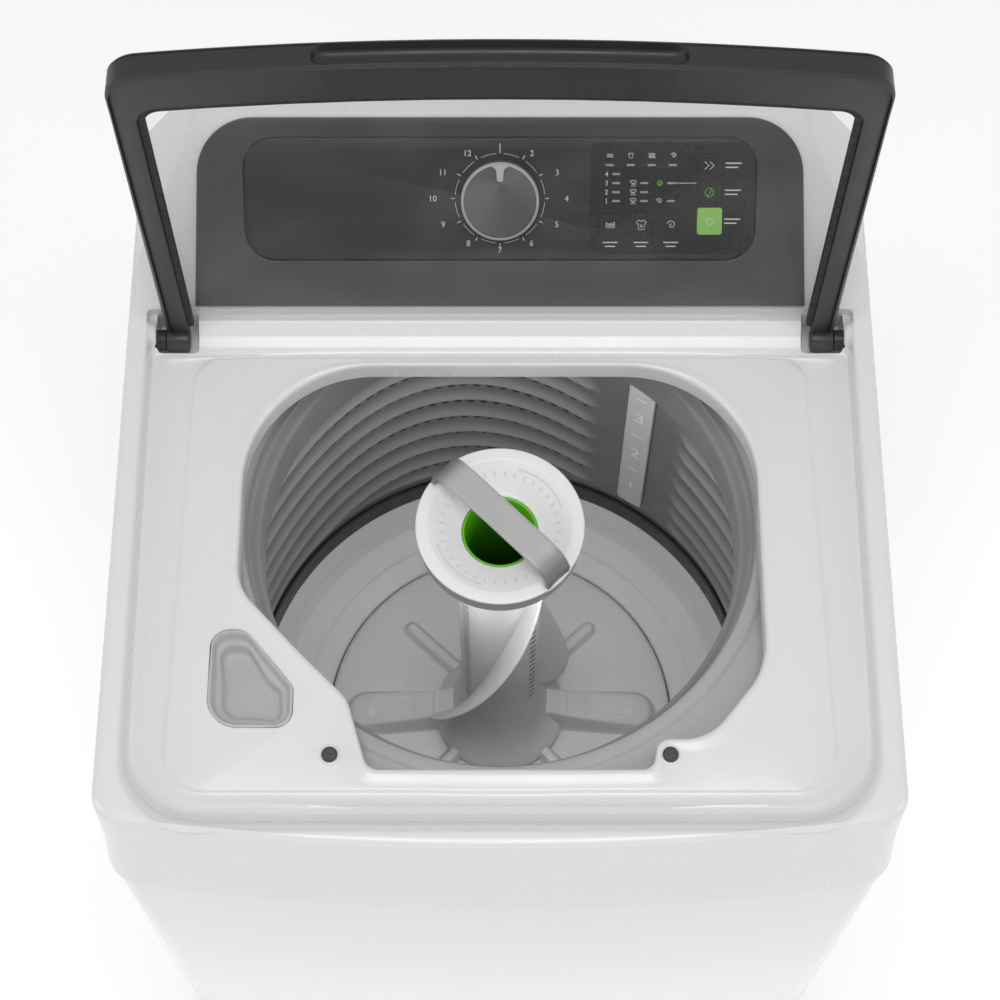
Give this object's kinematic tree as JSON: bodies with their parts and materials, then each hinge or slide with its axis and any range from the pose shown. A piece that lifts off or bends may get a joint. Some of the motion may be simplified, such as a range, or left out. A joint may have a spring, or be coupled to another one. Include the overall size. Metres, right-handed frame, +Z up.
{
  "type": "washing machine",
  "caption": "Top load washing machine with a lift-up glass lid, sloped control console, hanging tub, ribbed basket, agitator column and lift-out filter.",
  "frame": {"origin": "on the floor under the middle of the machine's outline", "axes": "+Z up, +Y from the bowed front to the back wall, +X to the right as seen from the front"},
  "size_m": [0.66, 0.69, 1.3125],
  "materials": {
    "painted_steel": "white satin paint",
    "white_plastic": "satin gloss",
    "galvanised_steel": "zinc plated",
    "charcoal_plastic": "fine grain",
    "fascia_plastic": "satin",
    "panel_plastic": "smooth",
    "tempered_glass": "clear",
    "black_rubber": "matt",
    "light_grey_plastic": "satin",
    "basket_plastic": "satin",
    "tub_plastic": "natural",
    "cast_aluminium": "as cast",
    "motor_steel": "black dip",
    "green_plastic": "satin",
    "key_green": "satin",
    "circuit_board": "lacquered",
    "light_lens": "clear white",
    "cap_plastic": "satin"
  },
  "bodies": {
    "machine": {"cabinet": "painted_steel", "rear_panel": "galvanised_steel", "base_frame": "galvanised_steel", "levelling_feet": "black_rubber", "panel_screws": "galvanised_steel", "top_cover": "white_plastic", "bleach_tray": "white_plastic", "lid_bumpers": "black_rubber", "hinge_bushes": "charcoal_plastic", "console_housing": "white_plastic", "console_fascia": "fascia_plastic", "console_panel": "panel_plastic", "status_lights": "light_lens", "control_board": "circuit_board", "suspension_rods": "galvanised_steel", "suspension_springs": "galvanised_steel", "inlet_valve": "white_plastic", "fill_nozzle": "tub_plastic", "drain_outlet": "charcoal_plastic", "cord_gland": "black_rubber", "pressure_switch": "white_plastic", "drain_hose": "tub_plastic"},
    "tub": {"outer_tub": "tub_plastic", "tub_ring": "light_grey_plastic", "tub_seal": "black_rubber", "tub_support": "galvanised_steel", "bearing_housing": "cast_aluminium", "bearings": "galvanised_steel", "gearcase": "cast_aluminium", "motor": "motor_steel", "drive_belt": "black_rubber", "drain_pump": "white_plastic", "sump_hose": "black_rubber", "suspension_cups": "charcoal_plastic"},
    "basket": {"drum_wall": "basket_plastic", "basket_base": "light_grey_plastic", "balance_ring": "basket_plastic", "scale_strip": "light_grey_plastic", "spin_tube": "galvanised_steel"},
    "agitator": {"impeller_plate": "light_grey_plastic", "agitator_column": "light_grey_plastic", "agitator_bolt": "galvanised_steel", "drive_shaft": "galvanised_steel", "driven_pulley": "cast_aluminium"},
    "filter": {"filter_cap": "cap_plastic", "filter_handle": "light_grey_plastic", "filter_cup": "green_plastic"},
    "motor_rotor": {"motor_pulley": "cast_aluminium"},
    "pump_rotor": {"pump_impeller": "charcoal_plastic"},
    "lid": {"lid_frame": "charcoal_plastic", "lid_glass": "tempered_glass", "lid_gasket": "black_rubber", "lid_pins": "galvanised_steel"},
    "dial": {"knob": "charcoal_plastic"},
    "level_button_body": {"level_button": "panel_plastic"},
    "soil_button_body": {"soil_button": "panel_plastic"},
    "extra_dry_button_body": {"extra_dry_button": "panel_plastic"},
    "skip_button_body": {"skip_button": "panel_plastic"},
    "eco_button_body": {"eco_button": "panel_plastic"},
    "start_button_body": {"start_button": "key_green"}
  },
  "joints": [
    {"name": "tub_bounce", "type": "slide", "parent": "machine", "child": "tub", "axis": [0, 0, 1], "range_m": [-0.012, 0.01], "stiffness_N_per_m": 24000, "springref_m": 0.01555, "deforming": ["suspension_springs", "drain_hose"]},
    {"name": "basket_spin", "type": "hinge", "parent": "tub", "child": "basket", "pos_m": [0, -0.011, 0.35], "axis": [0, 0, 1], "continuous": true},
    {"name": "agitator_spin", "type": "hinge", "parent": "tub", "child": "agitator", "pos_m": [0, -0.011, 0.35], "axis": [0, 0, 1], "continuous": true},
    {"name": "filter_lift", "type": "slide", "parent": "agitator", "child": "filter", "axis": [0, 0, 1], "range_m": [0, 0.28]},
    {"name": "motor_spin", "type": "hinge", "parent": "tub", "child": "motor_rotor", "pos_m": [0.17, -0.011, 0.109], "axis": [0, 0, 1], "continuous": true},
    {"name": "pump_spin", "type": "hinge", "parent": "tub", "child": "pump_rotor", "pos_m": [-0.175, 0.095, 0.165], "axis": [0, 0, 1], "continuous": true},
    {"name": "lid_hinge", "type": "hinge", "parent": "machine", "child": "lid", "pos_m": [0, 0.146, 0.921], "axis": [-1, 0, 0], "range_deg": [-92.5, 0]},
    {"name": "dial_turn", "type": "hinge", "parent": "machine", "child": "dial", "pos_m": [0, 0.24096, 1.00427], "axis": [0, -0.6459, 0.7634], "continuous": true},
    {"name": "level_press", "type": "slide", "parent": "machine", "child": "level_button_body", "axis": [0, 0.6459, -0.7634], "range_m": [0, 0.0015], "stiffness_N_per_m": 900},
    {"name": "soil_press", "type": "slide", "parent": "machine", "child": "soil_button_body", "axis": [0, 0.6459, -0.7634], "range_m": [0, 0.0015], "stiffness_N_per_m": 900},
    {"name": "extra_dry_press", "type": "slide", "parent": "machine", "child": "extra_dry_button_body", "axis": [0, 0.6459, -0.7634], "range_m": [0, 0.0015], "stiffness_N_per_m": 900},
    {"name": "skip_press", "type": "slide", "parent": "machine", "child": "skip_button_body", "axis": [0, 0.6459, -0.7634], "range_m": [0, 0.0015], "stiffness_N_per_m": 900},
    {"name": "eco_press", "type": "slide", "parent": "machine", "child": "eco_button_body", "axis": [0, 0.6459, -0.7634], "range_m": [0, 0.0015], "stiffness_N_per_m": 900},
    {"name": "start_press", "type": "slide", "parent": "machine", "child": "start_button_body", "axis": [0, 0.6459, -0.7634], "range_m": [0, 0.0015], "stiffness_N_per_m": 900}
  ],
  "couplings": [
    {"joint": "motor_spin", "follows": "agitator_spin", "ratio": 4.6667}
  ]
}
